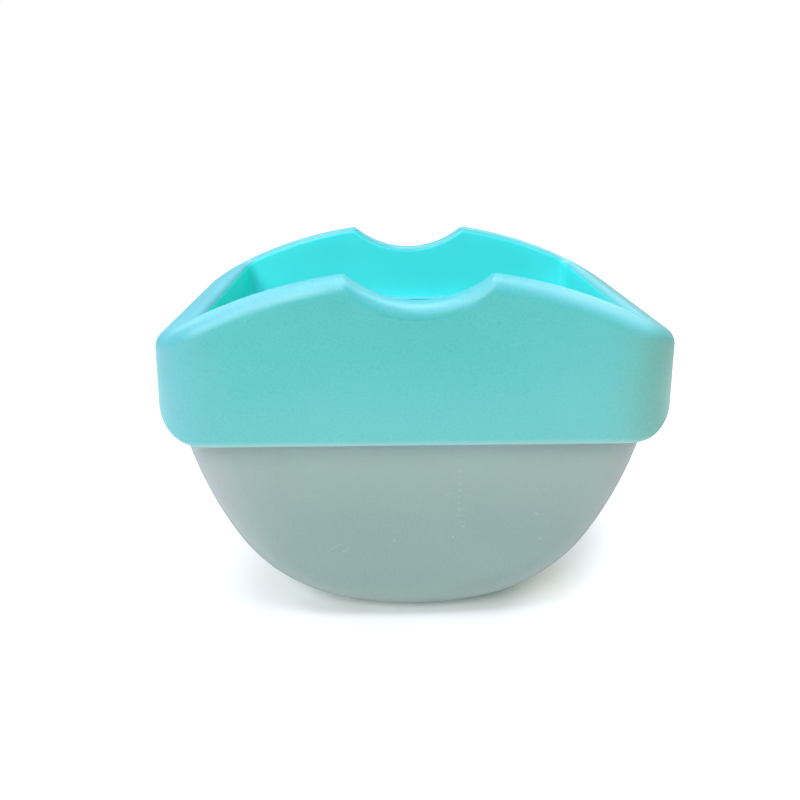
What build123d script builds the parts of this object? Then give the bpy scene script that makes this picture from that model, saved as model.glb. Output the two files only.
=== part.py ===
from build123d import *
import math
import os

# Hair colour bowl: a translucent half-drum bowl and a splash collar that lifts off it.
# Millimetres, +Z up, X along the length, origin at the centre of the foot.

# Overall size
collar_length = 144.0
collar_depth = 93.0
crown_height = 111.58         # top of the crown arc, before the brush rests are cut into it

# Collar, outside
collar_bottom = 64.8
collar_corner = 17.0          # upright corners, seen from above
collar_chin = 14.0            # lower corners, seen from the front
collar_draft = 4.0            # degrees, wider at the bottom
crown_radius = 136.0
rest_radius = 29.5            # brush rest in the middle of each long wall
rest_half_width = 19.2
rim_outer_round = 5.2
rim_inner_round = 1.8
rest_outer_round = 4.2
rest_corner_round = 2.2
rest_corner_reach = 3.0       # how far along X a corner's edges lie from rest_half_width
bell_rise = 0.1               # the rests' outer rounds stop this far short of blending out
skirt_edge_round = 0.8

# Collar, inside
wall = 2.0
crown_web = 3.8               # thickness under the rounded rim
throat_half_length = 58.0
throat_half_depth = 37.7
throat_corner = 3.5
ledge_top = 85.0
ledge_thickness = 2.2
plug_drop = 8.0               # how far the plug hangs into the bowl below the ledge
plug_gap = 0.3                # between the plug and the inside of the bowl
neck_gap = 0.5                # between the collar's lower opening and the bowl

# Bowl
bowl_half_depth = 39.0
bowl_wall = 2.2
bowl_edge_round = 14.0
bowl_rim_round = 0.7
rim_gap = 0.2                 # between the bowl's rim and the underside of the ledge
neck_arc = (15.0, 9.0)        # radius, turn in degrees, from the upright neck downwards
side_arc = (110.0, 21.0)
belly_arc = (51.0, 46.0)
base_arc = (95.0, 14.0)
foot_cut = 0.35               # depth taken off the base arc to make the flat foot
past = 20.0                   # how far cutting blocks run past what they cut

belly_arcs = (neck_arc, side_arc, belly_arc, base_arc)


def belly_span(project):
    """How far the arcs of one side run, across (cosine) or down (sine)."""
    angle = 0.0
    span = 0.0
    for radius, turn in belly_arcs:
        span += radius * (project(math.radians(angle + turn)) - project(math.radians(angle)))
        angle += turn
    return abs(span)


bowl_half_length = belly_span(math.cos)
neck_bottom = belly_span(math.sin) - foot_cut
skirt_length = collar_length + 2 * collar_chin * math.tan(math.radians(collar_draft))
ledge_under = ledge_top - ledge_thickness
bowl_rim = ledge_under - rim_gap
plug_half_length = bowl_half_length - bowl_wall - plug_gap
plug_half_depth = bowl_half_depth - bowl_wall - plug_gap
plug_corner = bowl_edge_round - bowl_wall - plug_gap
rest_centre = (crown_height - crown_radius
               + math.sqrt(crown_radius**2 - rest_half_width**2)
               + math.sqrt(rest_radius**2 - rest_half_width**2))


def plan_block(half_length, half_depth, corner, bottom, top, draft=0.0):
    """An upright block, a rounded rectangle from above."""
    base = Plane.XY.offset(bottom) * RectangleRounded(2 * half_length, 2 * half_depth, corner)
    return extrude(base, top - bottom, taper=draft)


def front_block(inset):
    """The collar's outline from the front, run through its whole depth."""
    tall = 2 * (crown_height - collar_bottom)
    outline = RectangleRounded(skirt_length - 2 * inset, tall - 2 * inset, collar_chin - inset)
    lowered = inset * crown_web / wall
    crown = Pos(0, crown_height - crown_radius) * Circle(crown_radius - lowered)
    shape = (Pos(0, collar_bottom + tall / 2) * outline) & crown
    return extrude(Plane.XZ * shape, collar_depth, both=True)


def collar_envelope(inset):
    """The collar's outside, or the same shape a wall further in."""
    upright = plan_block(skirt_length / 2 - inset, collar_depth / 2 - inset, collar_corner - inset,
                         collar_bottom, crown_height + past, collar_draft)
    return upright & front_block(inset)


def brush_rest(radius):
    """The rod that cuts the brush rests through both long walls."""
    return Pos(0, 0, rest_centre) * Rot(90, 0, 0) * Cylinder(radius, 2 * collar_depth)


def rest_bells():
    """Bell mouths that round the brush rests into the collar's two outer faces."""
    lean = math.tan(math.radians(collar_draft)) * (rest_centre - rest_radius - collar_bottom)
    face = collar_depth / 2 - lean + bell_rise
    start = (rest_radius, face - rest_outer_round)
    bell = RadiusArc(start, (rest_radius + rest_outer_round, face), rest_outer_round)
    back = Polyline(bell @ 1, (rest_radius + rest_outer_round, collar_depth), (0, collar_depth),
                    (0, face - rest_outer_round), start)
    mouth_shape = revolve(make_face([bell, back]), Axis.Y)
    return Pos(0, 0, rest_centre) * (mouth_shape + mirror(mouth_shape, Plane.XZ))


def throat():
    """The open middle of the collar above the ledge."""
    return plan_block(throat_half_length, throat_half_depth, throat_corner,
                      ledge_top, crown_height + past)


def plug(inset, bottom):
    """The plug that hangs into the bowl's rim, or its inside a wall further in."""
    return plan_block(plug_half_length - inset, plug_half_depth - inset, plug_corner - inset,
                      bottom, ledge_under)


def mouth():
    """The opening through the ledge and the plug."""
    through_ledge = plan_block(throat_half_length, plug_half_depth - wall, throat_corner,
                               ledge_under - wall, ledge_top)
    return through_ledge + plug(wall, collar_bottom - past)


def hollow():
    """The space inside the collar's double wall, open to the bowl's neck."""
    space = collar_envelope(wall) - brush_rest(rest_radius + wall)
    space -= plan_block(throat_half_length + wall, throat_half_depth + wall, throat_corner + wall,
                        ledge_top, crown_height + past)
    space -= plan_block(collar_length / 2, throat_half_depth + wall, throat_corner + wall,
                        ledge_under, ledge_top)
    space -= plug(0.0, ledge_under - plug_drop)
    return space


def level_edges(body, bottom, top):
    """Edges between two heights, without the upright ones."""
    band = [e for e in body.edges() if bottom < e.center().Z < top]
    return [e for e in band if abs(e.tangent_at(0.5).Z) < 0.9]


def collar_outside():
    """The closed outer form of the collar, with its rim and its lower edge rounded."""
    body = collar_envelope(0.0)
    body = fillet(level_edges(body, ledge_top, crown_height + past), rim_outer_round)
    foot = [e for e in level_edges(body, collar_bottom - wall, collar_bottom + wall)
            if abs(e.tangent_at(0.5).X) > 0.9]
    return fillet(foot, skirt_edge_round)


def cut_brush_rests(body):
    """Scallop both long walls for a brush handle, flare the outer edges and soften the corners."""
    body -= brush_rest(rest_radius) + rest_bells()
    corners = [e for e in level_edges(body, crown_height - 2 * rim_outer_round, crown_height)
               if abs(abs(e.center().X) - rest_half_width) < rest_corner_reach]
    return fillet(corners, rest_corner_round)


def round_throat(body):
    """Round the inner edge of the rim and the brush rests."""
    near = [e for e in level_edges(body, ledge_top + wall, crown_height + past)
            if abs(e.center().X) < throat_half_length + 0.1
            and abs(e.center().Y) < throat_half_depth + 0.1]
    return fillet(near, rim_inner_round)


def splash_collar():
    body = round_throat(cut_brush_rests(collar_outside() - throat()))
    body -= hollow() + mouth()
    body -= plan_block(bowl_half_length + neck_gap, bowl_half_depth + neck_gap,
                       bowl_edge_round + neck_gap, collar_bottom - past, ledge_under - plug_drop)
    return body


def bowl_block(inset):
    """The bowl's outside, or its inside a wall further in."""
    neck = Line((bowl_half_length - inset, bowl_rim + past), (bowl_half_length - inset, neck_bottom))
    outline = [neck]
    for radius, turn in belly_arcs:
        outline.append(JernArc(outline[-1] @ 1, outline[-1] % 1, radius - inset, -turn))
    half = Curve() + outline
    other = mirror(half, Plane.YZ)
    top = Line(neck @ 0, Vector(-(neck @ 0).X, (neck @ 0).Y))
    face = make_face(half + other + top)
    block = extrude(Plane.XZ * face, bowl_half_depth - inset, both=True)
    ends = block.faces().filter_by(Axis.Y)
    rounds = [e for f in ends for e in f.edges() if e.center().Z < bowl_rim + past - 1]
    return fillet(rounds, bowl_edge_round - inset)


def color_bowl():
    body = bowl_block(0.0) - bowl_block(bowl_wall)
    body &= Pos(0, 0, bowl_rim / 2) * Box(2 * collar_length, 2 * collar_depth, bowl_rim)
    rim = body.edges().filter_by(lambda e: e.center().Z > bowl_rim - 0.1)
    return fillet(rim, bowl_rim_round)


if __name__ == "__main__":
    os.makedirs("parts", exist_ok=True)
    export_step(splash_collar(), "parts/splash_collar.step")
    export_step(color_bowl(), "parts/color_bowl.step")
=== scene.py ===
import math

import bpy
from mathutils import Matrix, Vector

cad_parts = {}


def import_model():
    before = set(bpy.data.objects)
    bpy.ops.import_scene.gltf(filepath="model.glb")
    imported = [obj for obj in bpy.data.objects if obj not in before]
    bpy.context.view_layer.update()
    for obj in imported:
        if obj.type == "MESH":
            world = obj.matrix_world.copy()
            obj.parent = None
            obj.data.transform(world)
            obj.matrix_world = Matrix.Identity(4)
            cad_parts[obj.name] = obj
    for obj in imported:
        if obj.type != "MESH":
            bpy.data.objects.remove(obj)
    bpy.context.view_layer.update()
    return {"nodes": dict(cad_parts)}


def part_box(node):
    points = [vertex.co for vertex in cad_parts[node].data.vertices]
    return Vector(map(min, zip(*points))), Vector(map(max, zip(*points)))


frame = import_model()
nodes = frame["nodes"]
MM = 0.001
bowl_half_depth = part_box("color_bowl")[1][1]

# The collar's own levels and its throat, where its colours change
collar_bottom = 64.8 * MM
ledge_top = 85.0 * MM
throat_half_length = 58.0 * MM
throat_half_depth = 37.7 * MM
fine_relief = 0.06 * MM       # depth of the grain in both mouldings


# Node helpers

class Tree:
    """Short words for building a node material."""

    def __init__(self, name):
        self.material = bpy.data.materials.new(name)
        self.material.use_nodes = True
        self.nt = self.material.node_tree
        self.shader = self.nt.nodes["Principled BSDF"]
        self.coords = self.nt.nodes.new("ShaderNodeTexCoord").outputs["Object"]
        self.normal = self.nt.nodes.new("ShaderNodeNewGeometry").outputs["Normal"]

    def put(self, socket, value):
        if isinstance(value, bpy.types.NodeSocket):
            self.nt.links.new(value, socket)
        else:
            socket.default_value = value

    def math(self, operation, a, b=0.0, clamp=False):
        n = self.nt.nodes.new("ShaderNodeMath")
        n.operation = operation
        n.use_clamp = clamp
        self.put(n.inputs[0], a)
        self.put(n.inputs[1], b)
        return n.outputs[0]

    def noise(self, scale, detail, roughness=0.55):
        """Fractal noise over the object, with its scale in cells per metre."""
        n = self.nt.nodes.new("ShaderNodeTexNoise")
        self.put(n.inputs["Vector"], self.coords)
        n.inputs["Scale"].default_value = scale
        n.inputs["Detail"].default_value = detail
        n.inputs["Roughness"].default_value = roughness
        return n.outputs["Fac"]

    def span(self, value, low, high, to_low=0.0, to_high=1.0):
        """Run smoothly from to_low to to_high while value goes from low to high."""
        n = self.nt.nodes.new("ShaderNodeMapRange")
        n.interpolation_type = "SMOOTHSTEP"
        self.put(n.inputs["Value"], value)
        n.inputs["From Min"].default_value = low
        n.inputs["From Max"].default_value = high
        n.inputs["To Min"].default_value = to_low
        n.inputs["To Max"].default_value = to_high
        return n.outputs["Result"]

    def mix(self, share, a, b):
        """Colour a where share is 0, and b where it is 1."""
        n = self.nt.nodes.new("ShaderNodeMix")
        n.data_type = "RGBA"
        self.put(n.inputs["Factor"], share)
        self.put(n.inputs["A"], (*a, 1.0) if isinstance(a, tuple) else a)
        self.put(n.inputs["B"], (*b, 1.0) if isinstance(b, tuple) else b)
        return n.outputs["Result"]

    def split(self, vector=None):
        """The X, Y and Z of a vector, or of the place on the object."""
        n = self.nt.nodes.new("ShaderNodeSeparateXYZ")
        self.put(n.inputs[0], self.coords if vector is None else vector)
        return n.outputs["X"], n.outputs["Y"], n.outputs["Z"]

    def bump(self, height, strength, distance):
        n = self.nt.nodes.new("ShaderNodeBump")
        self.put(n.inputs["Height"], height)
        n.inputs["Strength"].default_value = strength
        n.inputs["Distance"].default_value = distance
        self.put(self.shader.inputs["Normal"], n.outputs[0])


def collar_outside(t, x, y, z, cloud):
    """The skirt, with painted light and shade: deeper and darker high up and paler low down, bluer
    painted light at the left end, greener painted light towards the right, and a duller, greener painted
    shade at the front right corner.
    """
    # Darker high up, paler low down: painted shade and painted light.
    high = t.mix(cloud, (0.028, 0.363, 0.338), (0.034, 0.378, 0.352))
    low = t.mix(cloud, (0.055, 0.371, 0.346), (0.063, 0.386, 0.361))
    # Bluer at the left end, greener towards the right: painted light.
    left = (0.082, 0.363, 0.390)
    right = (0.100, 0.405, 0.380)
    # Duller and greener at the front right corner: painted shade.
    corner_painted_shade = (0.086, 0.300, 0.228)
    shade = t.mix(t.span(z, 66.0 * MM, 97.0 * MM), low, high)
    shade = t.mix(t.span(x, -70.0 * MM, -46.0 * MM, 1.0, 0.0), shade, left)
    shade = t.mix(t.span(x, 10.0 * MM, 55.0 * MM, 0.0, 0.4), shade, right)
    at_right = t.span(x, 47.0 * MM, 67.0 * MM)
    at_front = t.span(y, -38.0 * MM, -18.0 * MM, 1.0, 0.3)
    return t.mix(t.math("MULTIPLY", at_right, at_front), shade, corner_painted_shade)


def collar_rim_painted_light(t, x, across):
    """The rolled rim, all painted light: bluer than the skirt as a painted sky reflection, paler painted
    light towards both ends, and a duller painted shade at the right end.
    """
    # The rim's blue is a painted sky reflection.
    middle_rim_painted_reflection = (0.031, 0.348, 0.384)
    left_end_painted_light = (0.072, 0.363, 0.420)
    right_end_painted_light = (0.106, 0.424, 0.456)
    # Duller and greener at the right end: painted shade.
    rim_end_painted_shade = (0.110, 0.340, 0.335)
    ends = t.mix(t.span(x, -60.0 * MM, 60.0 * MM), left_end_painted_light, right_end_painted_light)
    ends = t.mix(t.span(x, 56.0 * MM, 66.0 * MM), ends, rim_end_painted_shade)
    return t.mix(t.span(across, 20.0 * MM, 45.0 * MM), middle_rim_painted_reflection, ends)


def collar_throat_painted_light(t, x, up, cloud):
    """The inner walls, with painted light: a deep turquoise made bright as painted light inside the
    throat, a greener painted shade on the left end wall, and paler painted light on the up-facing ledge.
    """
    # Greener, with almost no red, on the left end wall: painted shade.
    left_wall_painted_shade = (0.008, 0.90, 0.76)
    # Paler on the up-facing ledge: painted light.
    ledge = (0.100, 0.440, 0.500)
    at_left = t.span(x, 0.1 * MM - throat_half_length, 3.0 * MM - throat_half_length, 1.0, 0.0)
    # The bright, deep turquoise of the walls: painted light inside the throat.
    shade = t.mix(cloud, (0.050, 0.870, 0.890), (0.054, 0.890, 0.910))
    shade = t.mix(at_left, shade, left_wall_painted_shade)
    return t.mix(t.span(up, 0.5, 0.9), shade, ledge)


def collar_plastic():
    """Satin turquoise moulding, with painted light: a bluer painted sky reflection on the rim and
    up-facing surfaces, a brighter throat as painted light inside it, painted light and shade across the
    skirt, and a painted highlight along the lower edge.
    """
    t = Tree("collar_turquoise")
    p = t.shader
    x, y, z = t.split()
    across = t.math("ABSOLUTE", x)
    deep = t.math("ABSOLUTE", y)
    up = t.split(t.normal)[2]
    cloud = t.span(t.noise(28.0, 4.0), 0.3, 0.7)
    rim = collar_rim_painted_light(t, x, across)
    # Up-facing surfaces take the rim's colour, a painted sky reflection.
    outer = t.mix(t.span(up, 0.1, 0.65), collar_outside(t, x, y, z, cloud), rim)

    # A pale line along the lower edge: a painted highlight.
    lower_edge_painted_highlight = (0.24, 0.400, 0.385)
    at_edge = t.span(z, collar_bottom + 0.4 * MM, collar_bottom + 1.9 * MM, 0.8, 0.0)
    outer = t.mix(at_edge, outer, lower_edge_painted_highlight)

    # 1 on the throat's walls and the ledge, fading to 0 over the rim's inner round
    near_end = t.span(across, throat_half_length + 0.1 * MM, throat_half_length + 1.9 * MM, 1.0, 0.0)
    near_side = t.span(deep, throat_half_depth + 0.1 * MM, throat_half_depth + 1.9 * MM, 1.0, 0.0)
    above = t.span(z, ledge_top - 0.5 * MM, ledge_top - 0.1 * MM)
    inside = t.math("MULTIPLY", t.math("MULTIPLY", near_end, near_side), above)
    outer = t.mix(inside, outer, rim)
    # Up-facing surfaces above the ledge keep the rim's painted sky reflection, not the throat's colour.
    above_ledge = t.span(z, ledge_top + 2.0 * MM, ledge_top + 5.0 * MM)
    turned_up = t.math("MULTIPLY", t.span(up, 0.08, 0.55), above_ledge)
    inside = t.math("MULTIPLY", inside, t.math("SUBTRACT", 1.0, turned_up))

    grain_colour = (0.16, 0.56, 0.55)
    grain = t.span(t.noise(2300.0, 2.0, 0.7), 0.35, 0.65, 0.0, 0.17)
    outer = t.mix(grain, outer, grain_colour)
    t.put(p.inputs["Base Color"], t.mix(inside, outer, collar_throat_painted_light(t, x, up, cloud)))
    t.put(p.inputs["Roughness"], t.span(t.noise(60.0, 5.0), 0.25, 0.75, 0.42, 0.54))
    p.inputs["IOR"].default_value = 1.5
    p.inputs["Specular IOR Level"].default_value = 0.85
    p.inputs["Subsurface Weight"].default_value = 0.25
    p.inputs["Subsurface Radius"].default_value = (0.4, 1.0, 1.0)
    p.inputs["Subsurface Scale"].default_value = 4.0 * MM
    t.bump(t.noise(1400.0, 3.0), 0.12, fine_relief)
    return t.material


def scuffs(t):
    """Short worn strokes on the bowl's front face: middle x and z, slope in degrees, length, in mm."""
    strokes = [(-24.0, 28.0, 30.0, 5.5), (-21.0, 26.5, 20.0, 3.2), (-6.5, 30.0, -72.0, 2.0),
               (9.0, 45.5, 20.0, 3.0), (14.0, 34.5, -10.0, 2.4), (11.0, 31.0, 35.0, 1.6),
               (35.0, 39.0, -25.0, 4.6), (37.0, 30.0, 25.0, 1.8), (39.0, 35.5, -47.0, 2.0)]
    ladder = [(12.5, 53.0 - 2.1 * step, 10.0 - 4.0 * step, 1.4) for step in range(8)]
    half_width = 0.16
    reach_into_wall = 1.0
    grit = t.noise(900.0, 2.0)
    total = 0.0
    for x, z, slope, length in strokes + ladder:
        n = t.nt.nodes.new("ShaderNodeMapping")
        n.vector_type = "TEXTURE"
        t.put(n.inputs["Vector"], t.coords)
        n.inputs["Location"].default_value = (x * MM, -bowl_half_depth, z * MM)
        n.inputs["Rotation"].default_value = (0.0, math.radians(-slope), 0.0)
        n.inputs["Scale"].default_value = (length / 2 * MM, reach_into_wall * MM, half_width * MM)
        reach = t.nt.nodes.new("ShaderNodeVectorMath")
        reach.operation = "LENGTH"
        t.put(reach.inputs[0], n.outputs[0])
        total = t.math("ADD", total, t.span(reach.outputs["Value"], 0.35, 1.0, 1.0, 0.0))
    return t.math("MULTIPLY", total, t.span(grit, 0.38, 0.58, 0.25, 1.0), clamp=True)


def bowl_face(t, x, z):
    """The frosted shell, with painted light: paler high up as painted light, paler still just under the
    collar as painted light over its shadow, paler at both ends as a painted sheen, and paler towards the
    foot.
    """
    cloud = t.span(t.noise(22.0, 4.0), 0.3, 0.7)
    # Paler high up than low down: painted light.
    lower = t.mix(cloud, (0.286, 0.422, 0.380), (0.306, 0.442, 0.400))
    upper = t.mix(cloud, (0.386, 0.530, 0.477), (0.406, 0.550, 0.497))
    # Paler just under the collar: painted light over the collar's shadow.
    under_collar_painted_light = (0.474, 0.625, 0.562)
    # Paler at both ends: a painted sheen.
    left_end_painted_light = (0.464, 0.529, 0.525)
    right_end_painted_light = (0.467, 0.536, 0.440)
    foot = (0.440, 0.610, 0.490)
    shade = t.mix(t.span(z, 30.0 * MM, 62.0 * MM), lower, upper)
    shade = t.mix(t.span(z, 60.0 * MM, 66.0 * MM, 0.0, 0.8), shade, under_collar_painted_light)
    shade = t.mix(t.span(x, -62.0 * MM, -36.0 * MM, 0.95, 0.0), shade, left_end_painted_light)
    shade = t.mix(t.span(x, 38.0 * MM, 64.0 * MM, 0.0, 0.6), shade, right_end_painted_light)
    return t.mix(t.span(z, 1.0 * MM, 16.0 * MM, 0.8, 0.0), shade, foot)


def bowl_turn_shade_mask(t, x, y, z, deep):
    """Where the painted shade shows on the belly's turn into the front and back faces, on the outside
    only.
    """
    across = t.math("ABSOLUTE", x)
    begins = t.span(deep, 26.0 * MM, 29.5 * MM)
    ends = t.span(deep, 32.8 * MM, 35.0 * MM, 1.0, 0.0)
    low = t.span(z, 28.0 * MM, 52.0 * MM, 1.0, 0.0)
    off_centre = t.span(across, 8.0 * MM, 34.0 * MM, 0.05, 0.35)
    facing_out = t.span(t.math("MULTIPLY", t.split(t.normal)[1], y), 0.0, 6.0 * MM)
    turn = t.math("MULTIPLY", begins, ends)
    turn = t.math("MULTIPLY", t.math("MULTIPLY", turn, low), off_centre)
    return t.math("MULTIPLY", turn, facing_out)


def bowl_plastic():
    """Frosted translucent moulding with flecks and light scuffs, a little greener and darker where it
    turns as painted shade, and a paler painted sheen on its shoulders.
    """
    t = Tree("bowl_frosted")
    p = t.shader
    x, y, z = t.split()
    deep = t.math("ABSOLUTE", y)
    shade = bowl_face(t, x, z)

    # A paler band where the faces round over: a painted sheen.
    shoulder_painted_sheen = (0.430, 0.500, 0.490)
    begins = t.span(deep, 33.5 * MM, 35.5 * MM)
    ends = t.span(deep, 37.0 * MM, 38.9 * MM, 1.0, 0.0)
    shoulder = t.math("MULTIPLY", begins, ends)
    shade = t.mix(t.math("MULTIPLY", shoulder, 0.65), shade, shoulder_painted_sheen)

    # Darker and greener where the belly turns: painted shade.
    turn_painted_shade = (0.210, 0.300, 0.190)
    turn = bowl_turn_shade_mask(t, x, y, z, deep)
    shade = t.mix(turn, shade, turn_painted_shade)

    fleck_colour = (0.62, 0.72, 0.67)
    fleck = t.span(t.noise(1900.0, 2.0, 0.7), 0.35, 0.65)
    shade = t.mix(t.math("MULTIPLY", fleck, 0.17), shade, fleck_colour)

    worn_colour = (0.80, 0.88, 0.86)
    worn = scuffs(t)
    shade = t.mix(t.math("MULTIPLY", worn, 0.55), shade, worn_colour)
    t.put(p.inputs["Base Color"], shade)
    satin = t.span(t.noise(80.0, 5.0), 0.25, 0.75, 0.46, 0.58)
    t.put(p.inputs["Roughness"], t.math("ADD", satin, t.math("MULTIPLY", turn, 0.3)))
    p.inputs["IOR"].default_value = 1.45
    p.inputs["Specular IOR Level"].default_value = 0.35
    p.inputs["Transmission Weight"].default_value = 0.45
    relief = t.math("SUBTRACT", t.math("MULTIPLY", t.noise(1600.0, 3.0), 0.4), worn)
    t.bump(relief, 0.3, fine_relief)
    return t.material


def dress(node, material):
    mesh_object = nodes[node]
    for s in mesh_object.material_slots:
        s.material = material
    if not mesh_object.material_slots:
        mesh_object.data.materials.append(material)


dress("splash_collar", collar_plastic())
dress("color_bowl", bowl_plastic())


# Floor, light and camera

def floor():
    bpy.ops.mesh.primitive_circle_add(vertices=96, radius=1.0, fill_type="NGON")
    disc = bpy.context.object
    disc.name = "floor"
    t = Tree("floor_pale")
    shade = t.mix(t.noise(3.0, 2.0), (0.86, 0.87, 0.88), (0.89, 0.90, 0.91))
    t.put(t.shader.inputs["Base Color"], shade)
    t.shader.inputs["Roughness"].default_value = 0.9
    disc.data.materials.append(t.material)


def softbox(name, azimuth, elevation, distance, size, power, colour):
    """A soft light aimed at the object. Azimuth 0 is in front of it, and 90 on its right."""
    light = bpy.data.lights.new(name, "AREA")
    light.shape = "RECTANGLE"
    light.size, light.size_y = size
    light.energy = power
    light.color = colour
    lamp = bpy.data.objects.new(name, light)
    bpy.context.scene.collection.objects.link(lamp)
    a, e = math.radians(azimuth), math.radians(elevation)
    away = Vector((math.sin(a) * math.cos(e), -math.cos(a) * math.cos(e), math.sin(e)))
    lamp.location = middle + away * distance
    lamp.rotation_mode = "QUATERNION"
    lamp.rotation_quaternion = away.to_track_quat("Z", "Y")
    lamp.visible_camera = False


def world(strength, colour):
    w = bpy.data.worlds.new("studio")
    bpy.context.scene.world = w
    w.use_nodes = True
    nt = w.node_tree
    room = nt.nodes["Background"]
    room.inputs["Color"].default_value = (*colour, 1.0)
    room.inputs["Strength"].default_value = strength
    seen = nt.nodes.new("ShaderNodeBackground")
    seen.inputs["Color"].default_value = (1.0, 1.0, 1.0, 1.0)
    rays = nt.nodes.new("ShaderNodeLightPath")
    pick = nt.nodes.new("ShaderNodeMixShader")
    nt.links.new(rays.outputs["Is Camera Ray"], pick.inputs[0])
    nt.links.new(room.outputs[0], pick.inputs[1])
    nt.links.new(seen.outputs[0], pick.inputs[2])
    nt.links.new(pick.outputs[0], nt.nodes["World Output"].inputs["Surface"])


def camera():
    data = bpy.data.cameras.new("photo_view")
    cam = bpy.data.objects.new("photo_view", data)
    bpy.context.scene.collection.objects.link(cam)
    looks_down = 22.57
    turned_right = 1.33
    cam.location = (-8.71 * MM, -210.8 * MM, 146.67 * MM)
    cam.rotation_euler = (math.radians(90.0 - looks_down), 0.0, math.radians(-turned_right))
    data.sensor_width = 36.0
    data.lens = 30.74
    data.clip_start = 0.01
    bpy.context.scene.camera = cam


middle = Vector((0.0, 0.0, 0.07))
floor()
world(0.03, (1.0, 1.0, 1.0))
softbox("top", 0.0, 86.0, 2.2, (1.5, 1.5), 50.0, (0.97, 1.0, 1.20))
softbox("top_right", 90.0, 58.0, 2.2, (1.2, 1.2), 16.0, (1.0, 0.97, 0.86))
softbox("top_left", -90.0, 58.0, 2.2, (1.2, 1.2), 5.0, (1.0, 1.0, 1.0))
softbox("front_top", 0.0, 42.0, 2.2, (1.6, 1.0), 5.0, (1.0, 1.0, 1.0))
softbox("key", -32.0, 38.0, 2.2, (1.2, 1.2), 34.0, (1.0, 1.0, 1.0))
softbox("back_left", -125.0, 35.0, 2.4, (1.4, 1.4), 16.0, (1.0, 1.0, 1.05))
softbox("back_right", 135.0, 35.0, 2.4, (1.4, 1.4), 12.0, (1.0, 0.97, 0.88))
softbox("back", 180.0, 25.0, 2.4, (3.0, 1.2), 7.0, (1.0, 1.0, 1.1))
camera()
bpy.context.scene.view_settings.view_transform = "Standard"
